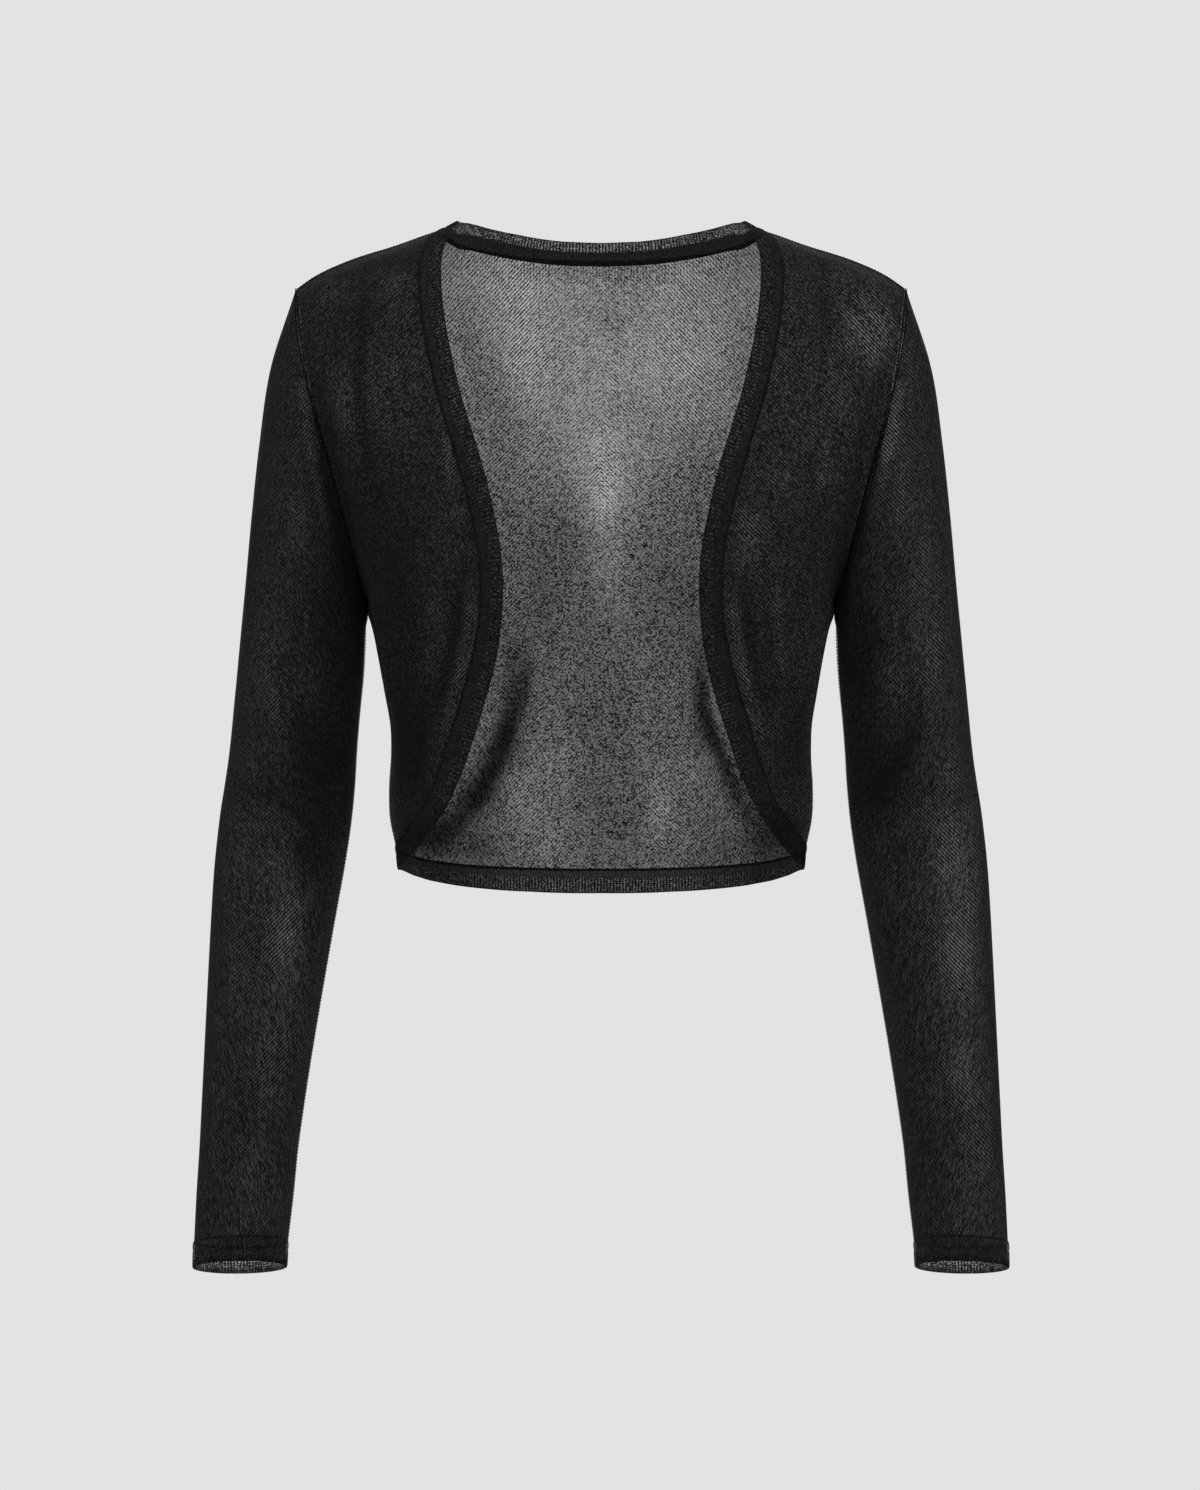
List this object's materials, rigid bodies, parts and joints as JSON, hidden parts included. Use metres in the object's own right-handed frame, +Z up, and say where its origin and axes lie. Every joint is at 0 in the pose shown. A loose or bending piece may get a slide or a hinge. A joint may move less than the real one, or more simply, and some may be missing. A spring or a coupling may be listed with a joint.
{
  "type": "knitted shrug",
  "caption": "Cropped open-fronted knit with long set-in sleeves, curved-away fronts, and ribbed bands round the opening, hem and cuffs.",
  "frame": {"origin": "midway between the two high shoulder points, where the wearer's shoulders carry the garment", "axes": "+Z up along the body, -Y the way the wearer faces (the open front), +X the wearer's left"},
  "size_m": [0.5006, 0.1947, 0.6457],
  "materials": {
    "knit": "fine plain knit, matt, semi-sheer",
    "rib": "close ribbed knit, matt, nearly opaque"
  },
  "bodies": {
    "root": {"back_panel": "knit", "front_panel_left": "knit", "front_panel_right": "knit", "sleeve_left": "knit", "sleeve_right": "knit", "neck_band": "rib", "front_band_left": "rib", "front_band_right": "rib", "hem_band": "rib", "cuff_left": "rib", "cuff_right": "rib"}
  },
  "joints": []
}
